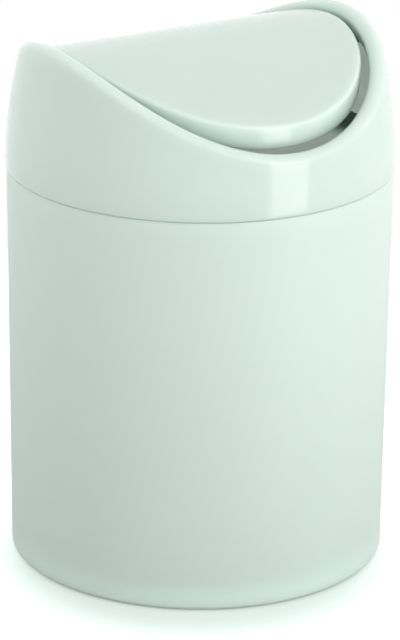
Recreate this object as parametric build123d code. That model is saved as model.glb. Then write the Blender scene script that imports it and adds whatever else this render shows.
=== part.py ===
from build123d import *
from build123d.topology import SkipClean
import math
import os

# Countertop waste bin with a swing lid. Millimetres, +Z up, origin at the centre of the foot's
# underside. X runs along the flap's pivot axis; front (-Y) and back are alike.

# --- Driving dimensions ---------------------------------------------------------------------

# Bin body: a tapered round bucket
BASE_DIAMETER = 122.4
SHOULDER_DIAMETER = 124.8
SHOULDER_HEIGHT = 130.8
BODY_WALL = 1.8
TAPERED_WALLS = 2
FLOOR_THICKNESS = 2.0
FLOOR_RAISE = 3.0
FOOT_WIDTH = 5.0
FOOT_ROUNDING = 1.6
FLOOR_CORNER_RADIUS = 4.0
SHOULDER_ROUNDING = 0.4
SPIGOT_HEIGHT = 7.0
SPIGOT_WALL = 1.5
SPIGOT_LEAD_IN = 0.6
RIM_JOG_HEIGHT = 4.0
GATE_RECESS_DIAMETER = 9.0
GATE_RECESS_DEPTH = 0.5

# Lid collar: a wall curved inwards, rolled over at a saddle-shaped rim
COLLAR_HEIGHT = 45.2
COLLAR_OVERHANG = 0.4
COLLAR_BULGE_RADIUS = 154.0
COLLAR_WALL = 1.8
COLLAR_SEAT_GAP = 0.3
COLLAR_FIT_CLEARANCE = 0.2
RIM_DROP = 28.1
RIM_END_SLOPE = 0.8
RIM_WIDTH = 5.5
RIM_ROUNDING = 2.6
RIM_TOP_THICKNESS = 2.2
LIP_THICKNESS = 1.8
LIP_DEPTH = 6.6
SADDLE_STATIONS = 5

# Swing flap: an oval plate curved over the pivot axis, with a down-turned skirt
FLAP_SINK = 2.5
FLAP_SIDE_GAP = 0.35
FLAP_END_GAP = 3.5
FLAP_DROP = 16.2
FLAP_END_SLOPE = 0.45
FLAP_WALL = 1.8
FLAP_EDGE_RADIUS = 1.4
SKIRT_DEPTH = 7.5
RIB_THICKNESS = 1.4
RIB_DEPTH = 5.0

# Pivots: pins moulded on the flap, snapped into slotted ears under the rim
PIVOT_SINK = 4.7
PIN_DIAMETER = 4.5
PIN_CLEARANCE = 0.08
PIN_END_CHAMFER = 0.5
PIN_END_CLEARANCE = 0.7
BOSS_DIAMETER = 5.2
BOSS_LENGTH = 6.0
EAR_WIDTH = 14.0
EAR_DEPTH = 7.0
EAR_THICKNESS = 2.4
EAR_CORNER_RADIUS = 3.0
THROAT_WIDTH = 3.9
MOUTH_WIDTH = 7.0
MOUTH_DEPTH = 2.6
GUSSET_THICKNESS = 1.4

# --- Derived sizes --------------------------------------------------------------------------

# A rounding is drawn as three flats that touch its circle: a bevel, then one at each new edge
QUARTER_CORNER = math.radians(90 / 4)
FIRST_BEVEL = 1 - math.tan(QUARTER_CORNER)
SECOND_BEVEL = math.tan(QUARTER_CORNER) - math.tan(QUARTER_CORNER / 2)

BASE_RADIUS = BASE_DIAMETER / 2
SHOULDER_RADIUS = SHOULDER_DIAMETER / 2
COLLAR_RADIUS = SHOULDER_RADIUS + COLLAR_OVERHANG
COLLAR_BOTTOM = SHOULDER_HEIGHT + COLLAR_SEAT_GAP
SPIGOT_RADIUS = COLLAR_RADIUS - COLLAR_WALL - COLLAR_FIT_CLEARANCE
RIM_PEAK_HEIGHT = SHOULDER_HEIGHT + COLLAR_HEIGHT
RIM_END_HEIGHT = RIM_PEAK_HEIGHT - RIM_DROP
BLANK_TOP = RIM_PEAK_HEIGHT + RIM_TOP_THICKNESS
FLAP_TOP_HEIGHT = RIM_PEAK_HEIGHT - FLAP_SINK
PIVOT_HEIGHT = FLAP_TOP_HEIGHT - PIVOT_SINK
PIN_RADIUS = PIN_DIAMETER / 2


def wall_radius(height, inset=0.0):
    """Radius of the collar's curved outer wall at a height, moved inwards by inset."""
    rise = height - SHOULDER_HEIGHT
    return COLLAR_RADIUS - COLLAR_BULGE_RADIUS + math.sqrt((COLLAR_BULGE_RADIUS - inset) ** 2 - rise**2)


EAR_FACE_X = wall_radius(PIVOT_HEIGHT, RIM_WIDTH)
FLAP_HALF_WIDTH = wall_radius(RIM_PEAK_HEIGHT, RIM_WIDTH) - FLAP_SIDE_GAP
FLAP_HALF_LENGTH = wall_radius(RIM_END_HEIGHT, RIM_WIDTH) - FLAP_END_GAP


def turned_inside(inset, bottom=COLLAR_BOTTOM, top=BLANK_TOP):
    """Turned solid inside the collar's curved wall, moved inwards by inset."""
    low, middle, high = [(wall_radius(z, inset), z) for z in (bottom, (bottom + top) / 2, top)]
    with BuildSketch(Plane.XZ) as section:
        with BuildLine():
            ThreePointArc(low, middle, high)
            Polyline(high, (0, top), (0, bottom), low)
        make_face()
    return revolve(section.sketch, Axis.Z)


def saddle_height(y, peak, drop, end_slope, half_span):
    """Height of a saddle that is level at y = 0 and falls by drop, in a cubic, to half_span."""
    share = abs(y) / half_span
    end_fall = end_slope * half_span
    return peak - (3 * drop - end_fall) * share**2 + (2 * drop - end_fall) * share**3


def rim_height(y):
    """Height of the rim's saddle."""
    return saddle_height(y, RIM_PEAK_HEIGHT, RIM_DROP, RIM_END_SLOPE, COLLAR_RADIUS)


def flap_height(y):
    """Height of the flap's top."""
    return saddle_height(y, FLAP_TOP_HEIGHT, FLAP_DROP, FLAP_END_SLOPE, FLAP_HALF_LENGTH)


def under_saddle(height_at, drop):
    """Solid, wider than the collar, under the saddle height_at(y) lowered by drop."""
    reach = COLLAR_RADIUS + COLLAR_WALL
    stations = [reach * i / SADDLE_STATIONS for i in range(-SADDLE_STATIONS, SADDLE_STATIONS + 1)]
    crest = [(y, height_at(y) - drop) for y in stations]
    with BuildSketch(Plane.YZ) as section:
        with BuildLine():
            Spline(*crest)
            Polyline(crest[-1], (reach, 0), (-reach, 0), crest[0])
        make_face()
    return Pos(-reach, 0, 0) * extrude(section.sketch, 2 * reach)


def flap_column(inset):
    """Upright column with the flap's oval plan, moved inwards by inset."""
    with BuildSketch() as plan:
        Ellipse(FLAP_HALF_WIDTH - inset, FLAP_HALF_LENGTH - inset)
    return extrude(plan.sketch, FLAP_TOP_HEIGHT + FLAP_WALL)


def saddle_edges(solid):
    """Edges that follow the saddle all the way round."""
    wide = solid.edges().filter_by(lambda edge: edge.bounding_box().size.X > COLLAR_RADIUS / 2)
    return wide.filter_by(GeomType.BSPLINE)


def rounded_rim(solid, rounding):
    """Solid with its saddle edges rounded, by three flats each."""
    solid = chamfer(saddle_edges(solid), FIRST_BEVEL * rounding)
    return chamfer(saddle_edges(solid), SECOND_BEVEL * rounding)


def from_quarter(solid):
    """Solid made again from its +X +Y quarter, its faces left split where the quarters meet."""
    reach = 2 * COLLAR_RADIUS
    quarter_space = Box(reach, reach, 2 * BLANK_TOP, align=(Align.MIN, Align.MIN, Align.CENTER))
    with SkipClean():
        quarter = solid & quarter_space
        half = quarter + quarter.mirror(Plane.YZ)
        return half + half.mirror(Plane.XZ)


def make_bin_body():
    """Tapered bucket: raised floor in a foot ring, and a stepped rim that takes the lid."""
    inner_top = SHOULDER_HEIGHT - RIM_JOG_HEIGHT
    slope = (SHOULDER_RADIUS - BASE_RADIUS) / SHOULDER_HEIGHT
    floor_top = FLOOR_RAISE + FLOOR_THICKNESS
    foot_inner = BASE_RADIUS - FOOT_WIDTH
    spigot_top = SHOULDER_HEIGHT + SPIGOT_HEIGHT
    spigot_inner = SPIGOT_RADIUS - SPIGOT_WALL
    outer_foot = (BASE_RADIUS, 0)
    shoulder = (SHOULDER_RADIUS, SHOULDER_HEIGHT)
    spigot_tip = (SPIGOT_RADIUS, spigot_top)
    floor_corner = (BASE_RADIUS + slope * floor_top - BODY_WALL, floor_top)
    outline = [
        (0, FLOOR_RAISE),
        (foot_inner, FLOOR_RAISE),
        (foot_inner, 0),
        outer_foot,
        shoulder,
        (SPIGOT_RADIUS, SHOULDER_HEIGHT),
        spigot_tip,
        (spigot_inner, spigot_top),
        (spigot_inner, SHOULDER_HEIGHT),
        (BASE_RADIUS + slope * inner_top - BODY_WALL, inner_top),
        floor_corner,
        (0, floor_top),
    ]
    with BuildSketch(Plane.XZ) as section:
        with BuildLine():
            Polyline(*outline, close=True)
        make_face()
        for corner, radius in (
            (outer_foot, FOOT_ROUNDING),
            (shoulder, SHOULDER_ROUNDING),
            (floor_corner, FLOOR_CORNER_RADIUS),
        ):
            chamfer(section.vertices().sort_by_distance((*corner, 0))[0], FIRST_BEVEL * radius)
            chamfer(section.vertices().sort_by_distance((*corner, 0))[:2], SECOND_BEVEL * radius)
        chamfer(section.vertices().sort_by_distance((*spigot_tip, 0))[0], SPIGOT_LEAD_IN)
    edges = section.sketch.edges().sort_by(SortBy.LENGTH)
    tapered = [Bezier(edge @ 0, edge @ 1) for edge in edges[-TAPERED_WALLS:]]
    body = revolve(make_face(edges[:-TAPERED_WALLS] + tapered), Axis.Z)
    gate_recess = Pos(0, 0, FLOOR_RAISE) * Cylinder(
        GATE_RECESS_DIAMETER / 2, GATE_RECESS_DEPTH, align=(Align.CENTER, Align.CENTER, Align.MIN)
    )
    return body - gate_recess


def ear_blank():
    """One ear at +X with its two gussets, before it is trimmed to the collar."""
    bottom = PIVOT_HEIGHT - EAR_DEPTH
    height = RIM_PEAK_HEIGHT - bottom
    plate = Pos(EAR_FACE_X, 0, bottom) * Box(
        EAR_THICKNESS, EAR_WIDTH, height, align=(Align.MIN, Align.CENTER, Align.MIN)
    )
    lower_corners = plate.edges().filter_by(Axis.X).group_by(Axis.Z)[0]
    plate = fillet(lower_corners, EAR_CORNER_RADIUS)
    gusset_bottom = bottom + EAR_CORNER_RADIUS
    gussets = [
        Pos(EAR_FACE_X, side * (EAR_WIDTH - GUSSET_THICKNESS) / 2, gusset_bottom)
        * Box(
            COLLAR_RADIUS - EAR_FACE_X,
            GUSSET_THICKNESS,
            RIM_PEAK_HEIGHT - gusset_bottom,
            align=(Align.MIN, Align.CENTER, Align.MIN),
        )
        for side in (-1, 1)
    ]
    return plate + gussets


def pivot_slot():
    """Keyhole through the lip and an ear at +X: a round seat, a narrower throat and a flared mouth."""
    bottom = -EAR_DEPTH
    lip_start = wall_radius(RIM_PEAK_HEIGHT, RIM_WIDTH)
    on_axis = Plane((lip_start, 0, PIVOT_HEIGHT), x_dir=(0, 1, 0), z_dir=(1, 0, 0))
    with BuildSketch(on_axis) as section:
        Circle(PIN_RADIUS + PIN_CLEARANCE)
        with BuildLine():
            Polyline(
                (-THROAT_WIDTH / 2, 0),
                (-THROAT_WIDTH / 2, bottom + MOUTH_DEPTH),
                (-MOUTH_WIDTH / 2, bottom),
                (MOUTH_WIDTH / 2, bottom),
                (THROAT_WIDTH / 2, bottom + MOUTH_DEPTH),
                (THROAT_WIDTH / 2, 0),
                close=True,
            )
        make_face()
    return extrude(section.sketch, EAR_FACE_X + EAR_THICKNESS - lip_start)


def make_lid_collar():
    """Thick turned ring cut to the saddle, rounded on both sides and cored from below."""
    ring = (turned_inside(0) & under_saddle(rim_height, 0)) - turned_inside(RIM_WIDTH)
    ring = rounded_rim(ring, RIM_ROUNDING)
    channel = turned_inside(COLLAR_WALL) - turned_inside(RIM_WIDTH - LIP_THICKNESS)
    ring -= channel & under_saddle(rim_height, RIM_TOP_THICKNESS)
    ring -= turned_inside(COLLAR_WALL) & under_saddle(rim_height, LIP_DEPTH)
    inside_walls = turned_inside(COLLAR_WALL / 2) & under_saddle(rim_height, RIM_TOP_THICKNESS / 2)
    ear = ear_blank() & inside_walls
    return from_quarter(ring + ear - pivot_slot())


def make_swing_flap():
    """Curved oval plate with a skirt, a rib along the pivot axis and a pin at each end."""
    blank = flap_column(0) & under_saddle(flap_height, 0)
    blank = rounded_rim(blank, FLAP_EDGE_RADIUS)
    hollow = flap_column(FLAP_WALL) & under_saddle(flap_height, FLAP_WALL)
    shell = blank - under_saddle(flap_height, SKIRT_DEPTH) - hollow
    inside_skin = flap_column(FLAP_WALL / 2) & under_saddle(flap_height, FLAP_WALL / 2)
    rib = Pos(0, 0, FLAP_TOP_HEIGHT) * Box(
        2 * FLAP_HALF_WIDTH,
        RIB_THICKNESS,
        FLAP_WALL + RIB_DEPTH,
        align=(Align.CENTER, Align.CENTER, Align.MAX),
    )
    shell += rib & inside_skin
    pin_root = FLAP_HALF_WIDTH - FLAP_WALL - BOSS_LENGTH
    pin_end = EAR_FACE_X + EAR_THICKNESS + PIN_END_CLEARANCE
    on_axis = Plane((pin_root, 0, PIVOT_HEIGHT), x_dir=(0, 1, 0), z_dir=(1, 0, 0))
    along = (Align.CENTER, Align.CENTER, Align.MIN)
    boss = on_axis * Cylinder(BOSS_DIAMETER / 2, BOSS_LENGTH + FLAP_WALL / 2, align=along)
    pin = on_axis * Cylinder(PIN_RADIUS, pin_end - pin_root, align=along)
    pin = chamfer(pin.edges().group_by(Axis.X)[-1], PIN_END_CHAMFER)
    return from_quarter(shell + boss + pin)


os.makedirs("parts", exist_ok=True)
for name, solid in (
    ("bin_body", make_bin_body()),
    ("lid_collar", make_lid_collar()),
    ("swing_flap", make_swing_flap()),
):
    export_step(solid, f"parts/{name}.step")
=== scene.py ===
import math
import bpy
import bmesh
from mathutils import Matrix, Vector


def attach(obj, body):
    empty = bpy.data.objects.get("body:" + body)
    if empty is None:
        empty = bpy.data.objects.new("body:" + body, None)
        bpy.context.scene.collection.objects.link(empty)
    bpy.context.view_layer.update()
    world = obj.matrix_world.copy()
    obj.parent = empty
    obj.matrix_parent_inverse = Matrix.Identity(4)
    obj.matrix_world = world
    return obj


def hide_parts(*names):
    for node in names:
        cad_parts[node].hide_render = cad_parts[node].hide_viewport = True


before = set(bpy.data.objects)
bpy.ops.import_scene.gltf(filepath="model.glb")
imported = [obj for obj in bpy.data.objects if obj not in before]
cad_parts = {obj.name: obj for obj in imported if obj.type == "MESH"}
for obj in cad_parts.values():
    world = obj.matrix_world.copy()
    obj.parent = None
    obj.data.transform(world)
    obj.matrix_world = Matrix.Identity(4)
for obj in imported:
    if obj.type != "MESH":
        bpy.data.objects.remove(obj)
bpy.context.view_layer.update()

# Table-top bin: fine meshes from the same formulas and sizes as the solids, in millimetres here
# and turned into metres as each mesh is made.
MM = 0.001

# Bin body
BASE_RADIUS = 61.2
SHOULDER_RADIUS = 62.4
SHOULDER_HEIGHT = 130.8
BODY_WALL = 1.8
FLOOR_RAISE = 3.0
FLOOR_THICKNESS = 2.0
FOOT_WIDTH = 5.0
FOOT_ROUNDING = 1.6
INNER_EDGE_ROUNDING = 0.3
FLOOR_CORNER_RADIUS = 4.0
SHOULDER_ROUNDING = 0.4
SPIGOT_HEIGHT = 7.0
SPIGOT_WALL = 1.5
SPIGOT_LEAD_IN = 0.6
RIM_JOG_HEIGHT = 4.0
GATE_RADIUS = 4.5
GATE_DEPTH = 0.5

# Lid collar
COLLAR_RADIUS = 62.8
COLLAR_BULGE_RADIUS = 154.0
COLLAR_WALL = 1.8
COLLAR_BOTTOM = SHOULDER_HEIGHT + 0.3
SPIGOT_RADIUS = COLLAR_RADIUS - COLLAR_WALL - 0.2
COLLAR_EDGE_ROUNDING = 0.35
RIM_PEAK_HEIGHT = 176.0
RIM_DROP = 28.1
RIM_END_SLOPE = 0.8
RIM_WIDTH = 5.5
RIM_ROUNDING = 2.6
RIM_TOP_THICKNESS = 2.2
LIP_THICKNESS = 1.8
LIP_DEPTH = 6.6
LIP_NOTCH_CLEARANCE = 0.15

# Swing flap
FLAP_TOP_HEIGHT = 173.5
FLAP_SIDE_GAP = 0.35
FLAP_END_GAP = 3.5
FLAP_DROP = 16.2
FLAP_END_SLOPE = 0.45
FLAP_WALL = 1.8
FLAP_EDGE_RADIUS = 1.4
SKIRT_DEPTH = 7.5
SKIRT_EDGE_ROUNDING = 0.6
RIB_THICKNESS = 1.4
RIB_DEPTH = 5.0

# Pivots
PIVOT_HEIGHT = 168.8
PIN_RADIUS = 2.25
SEAT_RADIUS = 2.33
PIN_END_CHAMFER = 0.5
PIN_END_CLEARANCE = 0.7
BOSS_RADIUS = 2.6
BOSS_LENGTH = 6.0
EAR_WIDTH = 14.0
EAR_DEPTH = 7.0
EAR_THICKNESS = 2.4
EAR_CORNER_RADIUS = 3.0
THROAT_HALF = 1.95
MOUTH_HALF = 3.5
MOUTH_DEPTH = 2.6
GUSSET_THICKNESS = 1.4

# How far ears and rib reach, at least, into the skin above them
ROOT_OVERLAP = 0.4

# Fineness of the meshes: sections all round, steps of a rounding, rows of a wall or a top
AROUND = 288
PIN_AROUND = 40
FLOOR_AROUND = 96
NOTCH_STEPS = 12
RIM_ROUNDING_STEPS = 12
FLAP_ROUNDING_STEPS = 10
CORNER_STEPS = 10
SMALL_CORNER_STEPS = 6
SMALL_CORNER_LIMIT = 1.0
EAR_CORNER_STEPS = 8
EDGE_STEPS = 4
SEAT_STEPS = 24
OUTER_WALL_ROWS = 14
INNER_WALL_ROWS = 8
TOP_ROWS = 18
LIP_POINTS = 2
LIP_BACK_POINTS = 1
SKIRT_POINTS = 2
LONGEST_RUN = 6.0

# Rounds of the searches for where a surface or a rolled ball is, and the step of a slope
APPROXIMATIONS = 24
HALVINGS = 48
SLOPE_STEP = 0.01

# Edges that turn by more than this many degrees stay sharp
SHARP_ANGLE = 35.0


def wall_radius(z, inset=0.0):
    """Radius of the collar's curved wall at a height, moved inwards by inset."""
    rise = z - SHOULDER_HEIGHT
    bulge = COLLAR_BULGE_RADIUS - inset
    return COLLAR_RADIUS - COLLAR_BULGE_RADIUS + math.sqrt(bulge**2 - rise * rise)


EAR_FACE_X = wall_radius(PIVOT_HEIGHT, RIM_WIDTH)
FLAP_HALF_WIDTH = wall_radius(RIM_PEAK_HEIGHT, RIM_WIDTH) - FLAP_SIDE_GAP
FLAP_HALF_LENGTH = wall_radius(RIM_PEAK_HEIGHT - RIM_DROP, RIM_WIDTH) - FLAP_END_GAP
SKIRT_MIDDLE_X = FLAP_HALF_WIDTH - FLAP_WALL / 2


def saddle_height(y, peak, drop, end_slope, half_span):
    """Height of a saddle that is level at y = 0 and falls by drop, in a cubic, to half_span."""
    share = abs(y) / half_span
    end_fall = end_slope * half_span
    return peak - (3 * drop - end_fall) * share**2 + (2 * drop - end_fall) * share**3


def rim_height(y):
    """Height of the rim's saddle."""
    return saddle_height(y, RIM_PEAK_HEIGHT, RIM_DROP, RIM_END_SLOPE, COLLAR_RADIUS)


def flap_height(y):
    """Height of the flap's top."""
    return saddle_height(y, FLAP_TOP_HEIGHT, FLAP_DROP, FLAP_END_SLOPE, FLAP_HALF_LENGTH)


def slope_of(height, y):
    """Slope of a saddle at y."""
    return (height(y + SLOPE_STEP) - height(y - SLOPE_STEP)) / (2 * SLOPE_STEP)


def on_surface(height, drop, inset, angle):
    """Point of the wall moved inwards by inset, at a drop below the saddle, in one direction."""
    radius = COLLAR_RADIUS - inset
    for _ in range(APPROXIMATIONS):
        z = height(radius * math.sin(angle)) - drop
        radius = wall_radius(z, inset)
    return Vector((radius * math.cos(angle), radius * math.sin(angle), z))


def arc_about(centre, start, end, steps):
    """Arc about a centre, from one offset to another of the same length."""
    spread = start.angle(end)
    arc = []
    for i in range(steps + 1):
        share = i / steps
        start_weight = math.sin((1 - share) * spread) / math.sin(spread)
        end_weight = math.sin(share * spread) / math.sin(spread)
        arc.append(centre + start_weight * start + end_weight * end)
    return arc


def rolled_edge(height, inset, rounding, angle, inner, steps):
    """Arc of a ball rolled along the edge between the saddle and the wall, from wall to top."""
    side = -1.0 if inner else 1.0
    ball_inset = inset + side * rounding
    low, high = -COLLAR_RADIUS, COLLAR_RADIUS
    for _ in range(HALVINGS):
        y_top = (low + high) / 2
        slope = slope_of(height, y_top)
        norm = math.sqrt(1 + slope * slope)
        centre_y = y_top + rounding * slope / norm
        centre_z = height(y_top) - rounding / norm
        radius = wall_radius(centre_z, ball_inset)
        if centre_y - radius * math.sin(angle) > 0:
            high = y_top
        else:
            low = y_top
    centre = Vector((radius * math.cos(angle), radius * math.sin(angle), centre_z))
    up = Vector((0, -slope / norm, 1 / norm))
    out_radius = COLLAR_BULGE_RADIUS - ball_inset
    rise = (centre_z - SHOULDER_HEIGHT) / out_radius
    flat = math.sqrt(1 - rise * rise)
    out = Vector((flat * math.cos(angle), flat * math.sin(angle), rise)) * side
    return arc_about(centre, rounding * out, rounding * up, steps)


def oval_point(angle, inset, drop):
    """Point on the flap's oval plan moved inwards by inset, at a drop below its top."""
    x = (FLAP_HALF_WIDTH - inset) * math.cos(angle)
    y = (FLAP_HALF_LENGTH - inset) * math.sin(angle)
    return Vector((x, y, flap_height(y) - drop))


def rolled_flap_edge(angle, rounding, steps):
    """Arc of a ball rolled along the flap's top edge, from its upright skirt to its top."""
    out = Vector((math.cos(angle) / FLAP_HALF_WIDTH, math.sin(angle) / FLAP_HALF_LENGTH, 0))
    out.normalize()
    on_wall = oval_point(angle, 0, 0)
    centre_y = on_wall.y - rounding * out.y
    y_top = centre_y
    for _ in range(APPROXIMATIONS):
        slope = slope_of(flap_height, y_top)
        norm = math.sqrt(1 + slope * slope)
        y_top = centre_y - rounding * slope / norm
    centre = Vector((on_wall.x - rounding * out.x, centre_y, flap_height(y_top) - rounding / norm))
    up = Vector((0, -slope / norm, 1 / norm))
    return arc_about(centre, rounding * out, rounding * up, steps)


def between(a, b, count):
    """Points from a to b without its ends."""
    return [a.lerp(b, (i + 1) / (count + 1)) for i in range(count)]


def add_object(name, data):
    """New object in the scene."""
    obj = bpy.data.objects.new(name, data)
    bpy.context.scene.collection.objects.link(obj)
    return obj


def mesh_object(name, bm, material):
    """New object in the scene, of one material, from a mesh that is done with."""
    mesh = bpy.data.meshes.new(name)
    bm.to_mesh(mesh)
    bm.free()
    mesh.materials.append(material)
    return add_object(name, mesh)


def add_piece(name, bm, body, material, node=None):
    """Visible piece in metres, smooth but for its sharp edges, riding on a body."""
    bmesh.ops.scale(bm, vec=(MM, MM, MM), verts=bm.verts)
    bmesh.ops.recalc_face_normals(bm, faces=bm.faces)
    for face in bm.faces:
        face.smooth = True
    limit = math.radians(SHARP_ANGLE)
    for edge in bm.edges:
        if len(edge.link_faces) == 2 and edge.calc_face_angle(0.0) > limit:
            edge.smooth = False
    obj = mesh_object(name, bm, material)
    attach(obj, body)
    if node:
        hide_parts(node)


def add_loops(bm, rings, closed_section=True):
    """Skin through rings of points: each ring is one section, and the last joins the first."""
    verts = [[bm.verts.new(point) for point in ring] for ring in rings]
    count = len(verts)
    size = len(verts[0])
    for i in range(count):
        here, there = verts[i], verts[(i + 1) % count]
        for j in range(size if closed_section else size - 1):
            k = (j + 1) % size
            bm.faces.new((here[j], there[j], there[k], here[k]))
    return verts


def corner_arc(corner, before, after, radius, steps):
    """Rounded corner between two straight runs."""
    corner, before, after = Vector(corner), Vector(before), Vector(after)
    to_before = (before - corner).normalized()
    to_after = (after - corner).normalized()
    half = to_before.angle(to_after) / 2
    reach = radius / math.tan(half)
    centre = corner + (to_before + to_after).normalized() * (radius / math.sin(half))
    start = corner + to_before * reach - centre
    end = corner + to_after * reach - centre
    return arc_about(centre, start, end, steps)


def rounded_profile(points):
    """Profile in (r, z) from (point, rounding) pairs; a rounding of 0 keeps the corner."""
    profile = []
    count = len(points)
    for i, (corner, rounding) in enumerate(points):
        before, after = points[i - 1][0], points[(i + 1) % count][0]
        if rounding:
            steps = SMALL_CORNER_STEPS if rounding < SMALL_CORNER_LIMIT else CORNER_STEPS
            profile += corner_arc(corner, before, after, rounding, steps)
        else:
            profile.append(Vector(corner))
    return profile


def subdivided(profile):
    """Profile with its long runs cut so that shading stays even."""
    out = []
    for here, there in zip(profile, profile[1:]):
        out.append(here)
        pieces = max(1, int((there - here).length / LONGEST_RUN))
        out += [here.lerp(there, i / pieces) for i in range(1, pieces)]
    out.append(profile[-1])
    return out


def add_disc_cap(bm, ring_verts, centre):
    """Fan of faces that closes a ring of vertices at a centre."""
    middle = bm.verts.new(centre)
    count = len(ring_verts)
    for i in range(count):
        bm.faces.new((ring_verts[i], ring_verts[(i + 1) % count], middle))


def lathe(bm, profile):
    """Turned shell from a profile that starts and ends on the axis."""
    off_axis = [p for p in profile if p.x > 0]
    rings = []
    for i in range(AROUND):
        angle = 2 * math.pi * i / AROUND
        rings.append([(p.x * math.cos(angle), p.x * math.sin(angle), p.y) for p in off_axis])
    verts = add_loops(bm, rings, closed_section=False)
    add_disc_cap(bm, [ring[0] for ring in verts], (0, 0, off_axis[0].y))
    add_disc_cap(bm, [ring[-1] for ring in verts], (0, 0, off_axis[-1].y))


# --- Materials ------------------------------------------------------------------------------


MINT = (0.6, 0.77, 0.687)
# The body's mint is the lid's mint made about 2 % lighter. Both are one moulding colour, and the extra
# is painted light that makes up for the body's lower right rendering too dark.
MINT_WITH_PAINTED_LIGHT = (0.615, 0.785, 0.702)
PLASTIC_IOR = 1.45
GLOW_SHARE = 0.7
GLOW_DEPTH = 0.0105

# Noise of the plastic, in cells per metre, and the depth of its bumps in metres
CLOUD_SCALE = 14.0
CLOUD_DETAIL = 3.0
CLOUD_SHADE = 0.985
CLOUD_SPAN = (0.3, 0.7)
MARK_SCALE = 55.0
MARK_DETAIL = 5.0
MARK_DISTORTION = 0.6
MARK_SPAN = (0.35, 0.75)
MARK_ROUGHNESS = (0.93, 1.12)
GRAIN_SCALE = 2600.0
GRAIN_DETAIL = 2.0
GRAIN_DEPTH = 0.00002
SWELL_SCALE = 22.0
SWELL_DETAIL = 1.0
SWELL_DEPTH = 0.0002


def add_noise(tree, coords, scale, detail, distortion=0.0):
    """Noise over the object's own coordinates."""
    noise = tree.nodes.new("ShaderNodeTexNoise")
    noise.inputs["Scale"].default_value = scale
    noise.inputs["Detail"].default_value = detail
    noise.inputs["Distortion"].default_value = distortion
    tree.links.new(coords.outputs["Object"], noise.inputs["Vector"])
    return noise.outputs["Fac"]


def add_bump(tree, height, strength, depth):
    """Bump from a height, with its normal still to be passed on."""
    bump = tree.nodes.new("ShaderNodeBump")
    bump.inputs["Strength"].default_value = strength
    bump.inputs["Distance"].default_value = depth
    tree.links.new(height, bump.inputs["Height"])
    return bump


def plastic(name, colour, roughness, grain, swell):
    """Moulded plastic: slightly clouded, finely grained, softly wavy, marked by handling."""
    mat = bpy.data.materials.new(name)
    mat.use_nodes = True
    tree = mat.node_tree
    nodes, links = tree.nodes, tree.links
    shader = nodes["Principled BSDF"]
    shader.inputs["IOR"].default_value = PLASTIC_IOR
    shader.inputs["Subsurface Weight"].default_value = GLOW_SHARE
    shader.inputs["Subsurface Radius"].default_value = (1.0, 1.0, 1.0)
    shader.inputs["Subsurface Scale"].default_value = GLOW_DEPTH
    coords = nodes.new("ShaderNodeTexCoord")

    cloud = add_noise(tree, coords, CLOUD_SCALE, CLOUD_DETAIL)
    tone = nodes.new("ShaderNodeValToRGB")
    darker, full = tone.color_ramp.elements
    darker.position, full.position = CLOUD_SPAN
    darker.color = (*[c * CLOUD_SHADE for c in colour], 1)
    full.color = (*colour, 1)
    links.new(cloud, tone.inputs["Fac"])
    links.new(tone.outputs["Color"], shader.inputs["Base Color"])

    marks = add_noise(tree, coords, MARK_SCALE, MARK_DETAIL, MARK_DISTORTION)
    rough = nodes.new("ShaderNodeMapRange")
    rough.inputs["From Min"].default_value = MARK_SPAN[0]
    rough.inputs["From Max"].default_value = MARK_SPAN[1]
    rough.inputs["To Min"].default_value = roughness * MARK_ROUGHNESS[0]
    rough.inputs["To Max"].default_value = roughness * MARK_ROUGHNESS[1]
    links.new(marks, rough.inputs["Value"])
    links.new(rough.outputs["Result"], shader.inputs["Roughness"])

    grain_noise = add_noise(tree, coords, GRAIN_SCALE, GRAIN_DETAIL)
    grain_bump = add_bump(tree, grain_noise, grain, GRAIN_DEPTH)
    swell_noise = add_noise(tree, coords, SWELL_SCALE, SWELL_DETAIL)
    swell_bump = add_bump(tree, swell_noise, swell, SWELL_DEPTH)
    links.new(grain_bump.outputs["Normal"], swell_bump.inputs["Normal"])
    links.new(swell_bump.outputs["Normal"], shader.inputs["Normal"])
    return mat


# The body's colour carries about 2 % of painted light over the lid's mint.
body_plastic = plastic("satin_body_plastic", MINT_WITH_PAINTED_LIGHT, roughness=0.48, grain=0.25, swell=0.15)
lid_plastic = plastic("gloss_lid_plastic", MINT, roughness=0.11, grain=0.03, swell=0.1)


# --- Bin body -------------------------------------------------------------------------------


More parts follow.
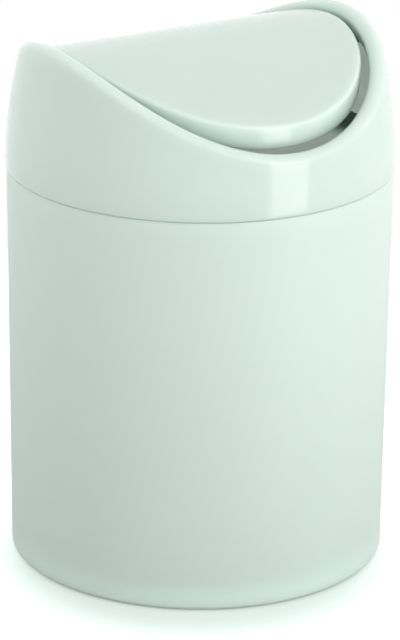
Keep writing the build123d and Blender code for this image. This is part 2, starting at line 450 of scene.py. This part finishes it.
def make_body():
    """Tapered bucket with a raised floor, a foot ring and a stepped rim."""
    slope = (SHOULDER_RADIUS - BASE_RADIUS) / SHOULDER_HEIGHT
    floor_top = FLOOR_RAISE + FLOOR_THICKNESS
    inner_top = SHOULDER_HEIGHT - RIM_JOG_HEIGHT
    foot_inner = BASE_RADIUS - FOOT_WIDTH
    spigot_top = SHOULDER_HEIGHT + SPIGOT_HEIGHT
    spigot_inner = SPIGOT_RADIUS - SPIGOT_WALL
    points = [
        ((0.0, FLOOR_RAISE + GATE_DEPTH), 0),
        ((GATE_RADIUS, FLOOR_RAISE + GATE_DEPTH), 0),
        ((GATE_RADIUS, FLOOR_RAISE), 0),
        ((foot_inner, FLOOR_RAISE), 0),
        ((foot_inner, 0.0), INNER_EDGE_ROUNDING),
        ((BASE_RADIUS, 0.0), FOOT_ROUNDING),
        ((SHOULDER_RADIUS, SHOULDER_HEIGHT), SHOULDER_ROUNDING),
        ((SPIGOT_RADIUS, SHOULDER_HEIGHT), 0),
        ((SPIGOT_RADIUS, spigot_top - SPIGOT_LEAD_IN), 0),
        ((SPIGOT_RADIUS - SPIGOT_LEAD_IN, spigot_top), 0),
        ((spigot_inner, spigot_top), INNER_EDGE_ROUNDING),
        ((spigot_inner, SHOULDER_HEIGHT), 0),
        ((BASE_RADIUS + slope * inner_top - BODY_WALL, inner_top), 0),
        ((BASE_RADIUS + slope * floor_top - BODY_WALL, floor_top), FLOOR_CORNER_RADIUS),
        ((0.0, floor_top), 0),
    ]
    bm = bmesh.new()
    lathe(bm, subdivided(rounded_profile(points)))
    add_piece("bin_body_shell", bm, "bin", body_plastic, "bin_body")


make_body()


# --- Lid collar -----------------------------------------------------------------------------


def lip_depth_at(y):
    """Depth of the lip below the rim: its full depth, less where the pivot seats cut into it."""
    seat = SEAT_RADIUS + LIP_NOTCH_CLEARANCE
    if abs(y) >= seat:
        return LIP_DEPTH
    seat_top = PIVOT_HEIGHT + math.sqrt(seat * seat - y * y)
    return min(LIP_DEPTH, rim_height(y) - seat_top)


def ring_angles():
    """Directions of the collar's sections: even all round, and finer where the pivots cut the lip."""
    spread = (SEAT_RADIUS + 2 * LIP_NOTCH_CLEARANCE) / EAR_FACE_X
    step = 2 * math.pi / AROUND
    angles = [step * i for i in range(AROUND)]
    fine = [spread * i / NOTCH_STEPS for i in range(-NOTCH_STEPS, NOTCH_STEPS + 1)]
    for middle in (0.0, math.pi, 2 * math.pi):
        angles = [a for a in angles if abs(a - middle) > spread + step / 4]
    for middle in (0.0, math.pi):
        angles += [(middle + a) % (2 * math.pi) for a in fine]
    return sorted(angles)


def collar_section(angle):
    """Closed section of the collar in one direction, outside first."""
    round_out = rolled_edge(rim_height, 0.0, RIM_ROUNDING, angle, False, RIM_ROUNDING_STEPS)
    round_in = rolled_edge(rim_height, RIM_WIDTH, RIM_ROUNDING, angle, True, RIM_ROUNDING_STEPS)

    def wall_point(z, inset):
        radius = wall_radius(z, inset)
        return Vector((radius * math.cos(angle), radius * math.sin(angle), z))

    edge = COLLAR_EDGE_ROUNDING
    section = []
    for i in range(EDGE_STEPS + 1):
        turn = math.pi / 2 * i / EDGE_STEPS
        inset = edge * (1 - math.sin(turn))
        section.append(wall_point(COLLAR_BOTTOM + edge * (1 - math.cos(turn)), inset))
    start_z, end_z = COLLAR_BOTTOM + edge, round_out[0].z
    for i in range(1, OUTER_WALL_ROWS):
        section.append(wall_point(start_z + (end_z - start_z) * i / OUTER_WALL_ROWS, 0.0))
    section += round_out
    section += round_in[::-1]
    lip_depth = lip_depth_at(EAR_FACE_X * math.sin(angle))
    lip_low = on_surface(rim_height, lip_depth, RIM_WIDTH, angle)
    lip_back = on_surface(rim_height, lip_depth, RIM_WIDTH - LIP_THICKNESS, angle)
    section += between(round_in[0], lip_low, LIP_POINTS)
    section += [lip_low, lip_back]
    channel_in = on_surface(rim_height, RIM_TOP_THICKNESS, RIM_WIDTH - LIP_THICKNESS, angle)
    channel_out = on_surface(rim_height, RIM_TOP_THICKNESS, COLLAR_WALL, angle)
    section += between(lip_back, channel_in, LIP_BACK_POINTS)
    section += [channel_in, channel_out]
    fall = COLLAR_BOTTOM - channel_out.z
    for i in range(1, INNER_WALL_ROWS + 1):
        section.append(wall_point(channel_out.z + fall * i / INNER_WALL_ROWS, COLLAR_WALL))
    return section


def add_prism(bm, outline, depth):
    """Closed prism: an outline of points, pushed along a vector."""
    near = [bm.verts.new(p) for p in outline]
    far = [bm.verts.new(Vector(p) + depth) for p in outline]
    count = len(outline)
    for i in range(count):
        j = (i + 1) % count
        bm.faces.new((near[i], near[j], far[j], far[i]))
    caps = [bm.faces.new(near), bm.faces.new(list(reversed(far)))]
    for cap in caps:
        cap.normal_update()
    bmesh.ops.triangulate(bm, faces=caps)


def ear_corner(corner, before, after):
    """Rounded lower corner of an ear, as (y, z) points."""
    return [(p.x, p.y) for p in corner_arc(corner, before, after, EAR_CORNER_RADIUS, EAR_CORNER_STEPS)]


def add_ear(bm, side):
    """Snap-in pivot ear: a plate with a keyhole slot and two gussets."""
    bottom = PIVOT_HEIGHT - EAR_DEPTH
    top = RIM_PEAK_HEIGHT - RIM_TOP_THICKNESS + ROOT_OVERLAP
    half = EAR_WIDTH / 2
    outline = [(half, top)]
    outline += ear_corner((half, bottom), (half, top), (0, bottom))
    outline += [(MOUTH_HALF, bottom), (THROAT_HALF, bottom + MOUTH_DEPTH)]
    start = math.asin(THROAT_HALF / SEAT_RADIUS)
    for i in range(SEAT_STEPS + 1):
        turn = start + (2 * math.pi - 2 * start) * i / SEAT_STEPS
        outline.append((SEAT_RADIUS * math.sin(turn), PIVOT_HEIGHT - SEAT_RADIUS * math.cos(turn)))
    outline += [(-THROAT_HALF, bottom + MOUTH_DEPTH), (-MOUTH_HALF, bottom)]
    outline += ear_corner((-half, bottom), (0, bottom), (-half, top))
    outline += [(-half, top)]
    face = [(side * EAR_FACE_X, y, z) for y, z in outline]
    add_prism(bm, face, Vector((side * EAR_THICKNESS, 0, 0)))
    low = bottom + EAR_CORNER_RADIUS
    for hand in (-1, 1):
        y = hand * (half - GUSSET_THICKNESS / 2)
        quad = []
        for z in (low, (low + top) / 2, top):
            reach = math.sqrt(wall_radius(z, COLLAR_WALL / 2) ** 2 - half**2)
            quad.append((side * reach, y - GUSSET_THICKNESS / 2, z))
        inner_x = side * (EAR_FACE_X + EAR_THICKNESS / 2)
        quad += [(inner_x, y - GUSSET_THICKNESS / 2, top), (inner_x, y - GUSSET_THICKNESS / 2, low)]
        add_prism(bm, quad, Vector((0, GUSSET_THICKNESS, 0)))


def make_collar():
    """Lid ring with its rolled rim and turned-down lip, and the two ears inside it."""
    bm = bmesh.new()
    add_loops(bm, [collar_section(angle) for angle in ring_angles()])
    add_piece("lid_collar_ring", bm, "lid", lid_plastic, "lid_collar")
    for side, name in ((1, "pivot_ear_right"), (-1, "pivot_ear_left")):
        bm = bmesh.new()
        add_ear(bm, side)
        add_piece(name, bm, "lid", lid_plastic)


make_collar()


# --- Swing flap -----------------------------------------------------------------------------


def flap_section(angle):
    """Open section of the flap in one direction, from near its middle on top to below."""
    edge_arc = rolled_flap_edge(angle, FLAP_EDGE_RADIUS, FLAP_ROUNDING_STEPS)
    wall_edge, top_edge = edge_arc[0], edge_arc[-1]
    section = []
    for i in range(1, TOP_ROWS):
        share = i / TOP_ROWS
        x, y = top_edge.x * share, top_edge.y * share
        section.append(Vector((x, y, flap_height(y))))
    section += edge_arc[::-1]
    low = oval_point(angle, 0, SKIRT_DEPTH)
    inner_low = oval_point(angle, FLAP_WALL, SKIRT_DEPTH)
    inner_top = oval_point(angle, FLAP_WALL, FLAP_WALL)
    section += between(wall_edge, low, SKIRT_POINTS)
    section += corner_arc(low, wall_edge, inner_low, SKIRT_EDGE_ROUNDING, EDGE_STEPS)
    section += corner_arc(inner_low, low, inner_top, SKIRT_EDGE_ROUNDING, EDGE_STEPS)
    section.append(inner_top)
    for i in range(TOP_ROWS - 1, 0, -1):
        share = i / TOP_ROWS
        x, y = inner_top.x * share, inner_top.y * share
        section.append(Vector((x, y, flap_height(y) - FLAP_WALL)))
    return section


def add_turned_pin(bm, side, stations):
    """Solid turned about the pivot axis, from (x, radius) stations."""
    rings = []
    for i in range(PIN_AROUND):
        turn = 2 * math.pi * i / PIN_AROUND
        across, up = math.cos(turn), math.sin(turn)
        rings.append([(side * x, r * across, PIVOT_HEIGHT + r * up) for x, r in stations])
    verts = add_loops(bm, rings, closed_section=False)
    add_disc_cap(bm, [ring[0] for ring in verts], (side * stations[0][0], 0, PIVOT_HEIGHT))
    add_disc_cap(bm, [ring[-1] for ring in verts], (side * stations[-1][0], 0, PIVOT_HEIGHT))


def make_flap_shell():
    """Barrel-curved top with its down-turned skirt."""
    bm = bmesh.new()
    sections = [flap_section(2 * math.pi * i / AROUND) for i in range(AROUND)]
    verts = add_loops(bm, sections, closed_section=False)
    add_disc_cap(bm, [ring[0] for ring in verts], (0, 0, FLAP_TOP_HEIGHT))
    add_disc_cap(bm, [ring[-1] for ring in verts], (0, 0, FLAP_TOP_HEIGHT - FLAP_WALL))
    add_piece("swing_flap_shell", bm, "flap", lid_plastic, "swing_flap")


def make_rib():
    """Stiffening rib across the flap's underside, from skirt to skirt."""
    under = FLAP_TOP_HEIGHT - FLAP_WALL
    half = RIB_THICKNESS / 2
    low, high = under - RIB_DEPTH, under + ROOT_OVERLAP
    left, right = -SKIRT_MIDDLE_X, SKIRT_MIDDLE_X
    corners = [(left, low), (right, low), (right, high), (left, high)]
    bm = bmesh.new()
    add_prism(bm, [(x, -half, z) for x, z in corners], Vector((0, RIB_THICKNESS, 0)))
    add_piece("flap_rib", bm, "flap", lid_plastic)


def make_pins():
    """Two pivot pins, each on its boss."""
    boss_start = FLAP_HALF_WIDTH - FLAP_WALL - BOSS_LENGTH
    pin_end = EAR_FACE_X + EAR_THICKNESS + PIN_END_CLEARANCE
    stations = [
        (boss_start, BOSS_RADIUS),
        (SKIRT_MIDDLE_X, BOSS_RADIUS),
        (SKIRT_MIDDLE_X, PIN_RADIUS),
        (pin_end - PIN_END_CHAMFER, PIN_RADIUS),
        (pin_end, PIN_RADIUS - PIN_END_CHAMFER),
    ]
    for side, name in ((1, "pivot_pin_right"), (-1, "pivot_pin_left")):
        bm = bmesh.new()
        add_turned_pin(bm, side, stations)
        add_piece(name, bm, "flap", lid_plastic)


make_flap_shell()
make_rib()
make_pins()


# --- Stage, light and camera ------------------------------------------------------------------


# Heading of the camera against the part's +Y
VIEW_HEADING = 0.543


def to_part(v):
    """From the camera's room axes (Y away from the camera) to the part's."""
    c, s = math.cos(VIEW_HEADING), math.sin(VIEW_HEADING)
    return Vector((v[0] * c + v[1] * s, -v[0] * s + v[1] * c, v[2]))


def white_for_camera(tree, kind, lit_shader, target):
    """White where the camera sees the surface itself, the lit shader for all other light."""
    nodes, links = tree.nodes, tree.links
    path = nodes.new("ShaderNodeLightPath")
    white = nodes.new(kind)
    white.inputs["Color"].default_value = (1, 1, 1, 1)
    white.inputs["Strength"].default_value = 1.0
    mix = nodes.new("ShaderNodeMixShader")
    links.new(path.outputs["Is Camera Ray"], mix.inputs["Fac"])
    links.new(lit_shader, mix.inputs[1])
    links.new(white.outputs[0], mix.inputs[2])
    links.new(mix.outputs[0], target)


# The table top: its sizes, and its painted shadow: the span, from a centre moved towards the camera,
# over which the lift for the camera rises from its lowest near the bin to white, in metres
FLOOR_RADIUS = 0.3
FLOOR_DEPTH = 0.0002
FLOOR_ROUGHNESS = 0.6
FLOOR_COLOUR = (0.52, 0.52, 0.525)
# Mint tint of the lift for the camera: painted bounce light from the bin in the shadow near it. Far
# off, the floor still turns white.
FLOOR_LIFT_PAINTED_BOUNCE_TINT = (0.82, 1.0, 0.9)
# Lift for the camera nearest the bin: painted shadow, darker than the floor's own lit shading alone
# would give.
LIFT_IN_PAINTED_SHADOW = 0.3
PAINTED_SHADOW_FORWARD = 0.02
FADE_START = 0.046
FADE_END = 0.085


def floor_material():
    """White that is lit and keeps the bin's real shadow, lifted for the camera so that the shadow
    stays faint; the lift falls near the bin, from a centre moved towards the camera, and so paints
    shadow there, in a mint tint of painted bounce light.
    """
    mat = bpy.data.materials.new("studio_floor_white")
    mat.use_nodes = True
    nodes, links = mat.node_tree.nodes, mat.node_tree.links
    shader = nodes["Principled BSDF"]
    shader.inputs["Base Color"].default_value = (*FLOOR_COLOUR, 1)
    shader.inputs["Roughness"].default_value = FLOOR_ROUGHNESS
    # Mint-tinted lift: painted bounce light in the floor's shadow.
    shader.inputs["Emission Color"].default_value = (*FLOOR_LIFT_PAINTED_BOUNCE_TINT, 1)
    coords = nodes.new("ShaderNodeTexCoord")
    distance = nodes.new("ShaderNodeVectorMath")
    distance.operation = "DISTANCE"
    # Centre of the painted shadow, moved towards the camera.
    distance.inputs[1].default_value = to_part((0, -PAINTED_SHADOW_FORWARD, 0))
    links.new(coords.outputs["Object"], distance.inputs[0])
    # Painted shadow: the lift falls from full white far off to its lowest near the bin.
    fade = nodes.new("ShaderNodeMapRange")
    fade.interpolation_type = "SMOOTHSTEP"
    fade.inputs["From Min"].default_value = FADE_START
    fade.inputs["From Max"].default_value = FADE_END
    fade.inputs["To Min"].default_value = LIFT_IN_PAINTED_SHADOW
    fade.inputs["To Max"].default_value = 1.0
    links.new(distance.outputs["Value"], fade.inputs["Value"])
    path = nodes.new("ShaderNodeLightPath")
    lift = nodes.new("ShaderNodeMath")
    lift.operation = "MULTIPLY"
    links.new(path.outputs["Is Camera Ray"], lift.inputs[0])
    links.new(fade.outputs["Result"], lift.inputs[1])
    links.new(lift.outputs[0], shader.inputs["Emission Strength"])
    return mat


def make_floor():
    """Round table top under the bin."""
    bm = bmesh.new()
    rim = []
    for i in range(FLOOR_AROUND):
        turn = 2 * math.pi * i / FLOOR_AROUND
        x, y = FLOOR_RADIUS * math.cos(turn), FLOOR_RADIUS * math.sin(turn)
        rim.append(bm.verts.new((x, y, -FLOOR_DEPTH)))
    bm.faces.new(rim)
    floor = mesh_object("studio_floor", bm, floor_material())


make_floor()


# The rest of the view: angles in radians, the camera's place in metres, its lens in pixels
VIEW_FALL = 0.3512
VIEW_ROLL = 0.0118
VIEW_YAW = 0.0004
CAMERA_DISTANCE = 1.21712
CAMERA_HEIGHT = 0.52234
FOCAL_PIXELS = 3965.87
SENSOR = 36.0
PICTURE_HEIGHT = 640
CLIP_START = 0.05
CLIP_END = 20.0


def make_camera():
    """Camera at the photo's place, with its angle of view."""
    data = bpy.data.cameras.new("view")
    data.sensor_width = SENSOR
    data.sensor_fit = "AUTO"
    data.lens = FOCAL_PIXELS * SENSOR / PICTURE_HEIGHT
    data.clip_start = CLIP_START
    data.clip_end = CLIP_END
    camera = add_object("view", data)
    forward = Vector((
        math.sin(VIEW_YAW) * math.cos(VIEW_FALL),
        math.cos(VIEW_YAW) * math.cos(VIEW_FALL),
        -math.sin(VIEW_FALL),
    ))
    right = forward.cross(Vector((0, 0, 1))).normalized()
    up = right.cross(forward)
    c, s = math.cos(VIEW_ROLL), math.sin(VIEW_ROLL)
    rolled_right = c * right + s * up
    rolled_up = -s * right + c * up
    columns = [to_part(rolled_right), to_part(rolled_up), to_part(-forward)]
    rotation = Matrix([[columns[j][i] for j in range(3)] for i in range(3)]).to_4x4()
    camera.matrix_world = Matrix.Translation(to_part((0, -CAMERA_DISTANCE, CAMERA_HEIGHT))) @ rotation
    bpy.context.scene.camera = camera


make_camera()


def make_world(strength):
    """Even white light from all round, and plain white behind the bin."""
    world = bpy.data.worlds.new("studio")
    bpy.context.scene.world = world
    world.use_nodes = True
    nodes = world.node_tree.nodes
    lit = nodes["Background"]
    lit.inputs["Color"].default_value = (1, 1, 1, 1)
    lit.inputs["Strength"].default_value = strength
    target = nodes["World Output"].inputs["Surface"]
    white_for_camera(world.node_tree, "ShaderNodeBackground", lit.outputs[0], target)


# Where the lamp points, in metres
LIGHT_TARGET = Vector((0, 0, 0.1))


def softbox(name, azimuth, elevation, distance, width, height, power):
    """Rectangular lamp facing the bin; azimuth 0 is at the camera and runs to its right."""
    data = bpy.data.lights.new(name, "AREA")
    data.shape = "RECTANGLE"
    data.size, data.size_y = width, height
    data.energy = power
    lamp = add_object(name, data)
    a, e = math.radians(azimuth), math.radians(elevation)
    towards = to_part((math.sin(a) * math.cos(e), -math.cos(a) * math.cos(e), math.sin(e)))
    lamp.location = LIGHT_TARGET + towards * distance
    lamp.rotation_euler = (-towards).to_track_quat("-Z", "Y").to_euler()


make_world(strength=1.085)
softbox("window", azimuth=52, elevation=7, distance=1.2, width=0.52, height=1.3, power=6.9)

bpy.context.scene.view_settings.view_transform = "Standard"
